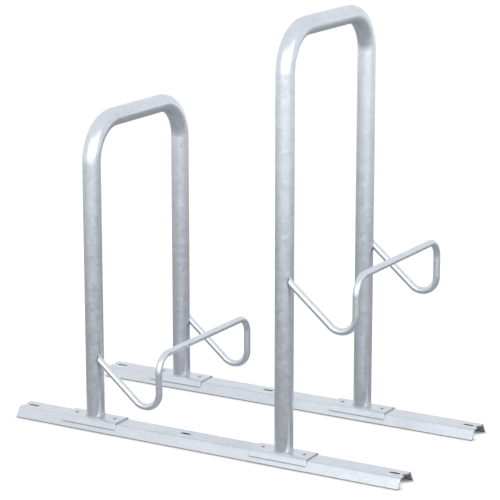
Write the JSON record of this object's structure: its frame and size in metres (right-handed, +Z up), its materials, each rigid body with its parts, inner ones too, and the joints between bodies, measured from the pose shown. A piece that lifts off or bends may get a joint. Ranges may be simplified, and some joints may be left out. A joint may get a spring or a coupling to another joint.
{
  "type": "floor bike rack",
  "caption": "Galvanised floor rack for bicycles at two heights: a low and a high tube hoop on folded floor rails, each with a bent bar that cradles a wheel.",
  "frame": {"origin": "on the floor, at the middle of the footprint", "axes": "+X along the floor rails from the low hoop to the high one, +Y from the front rail to the rear one, +Z up"},
  "size_m": [1.15, 0.5212, 1.1299],
  "materials": {
    "galvanised_sheet": "hot-dip galvanised folded sheet, soft mottled sheen",
    "galvanised_tube": "hot-dip galvanised round tube, soft mottled sheen",
    "galvanised_bar": "hot-dip galvanised round bar, a little brighter than the tube",
    "galvanised_weld": "galvanised weld bead",
    "zinc_fasteners": "zinc-coated steel, dark in the sockets"
  },
  "bodies": {
    "root": {"front_rail": "galvanised_sheet", "rear_rail": "galvanised_sheet", "low_hoop": "galvanised_tube", "low_wheel_holder": "galvanised_bar", "low_front_saddle": "galvanised_sheet", "low_front_leg_weld": "galvanised_weld", "low_front_arm_weld": "galvanised_weld", "low_front_screws": "zinc_fasteners", "low_front_washers": "zinc_fasteners", "low_front_nuts": "zinc_fasteners", "low_rear_saddle": "galvanised_sheet", "low_rear_leg_weld": "galvanised_weld", "low_rear_arm_weld": "galvanised_weld", "low_rear_screws": "zinc_fasteners", "low_rear_washers": "zinc_fasteners", "low_rear_nuts": "zinc_fasteners", "high_hoop": "galvanised_tube", "high_wheel_holder": "galvanised_bar", "high_front_saddle": "galvanised_sheet", "high_front_leg_weld": "galvanised_weld", "high_front_arm_weld": "galvanised_weld", "high_front_screws": "zinc_fasteners", "high_front_washers": "zinc_fasteners", "high_front_nuts": "zinc_fasteners", "high_rear_saddle": "galvanised_sheet", "high_rear_leg_weld": "galvanised_weld", "high_rear_arm_weld": "galvanised_weld", "high_rear_screws": "zinc_fasteners", "high_rear_washers": "zinc_fasteners", "high_rear_nuts": "zinc_fasteners"}
  },
  "joints": []
}
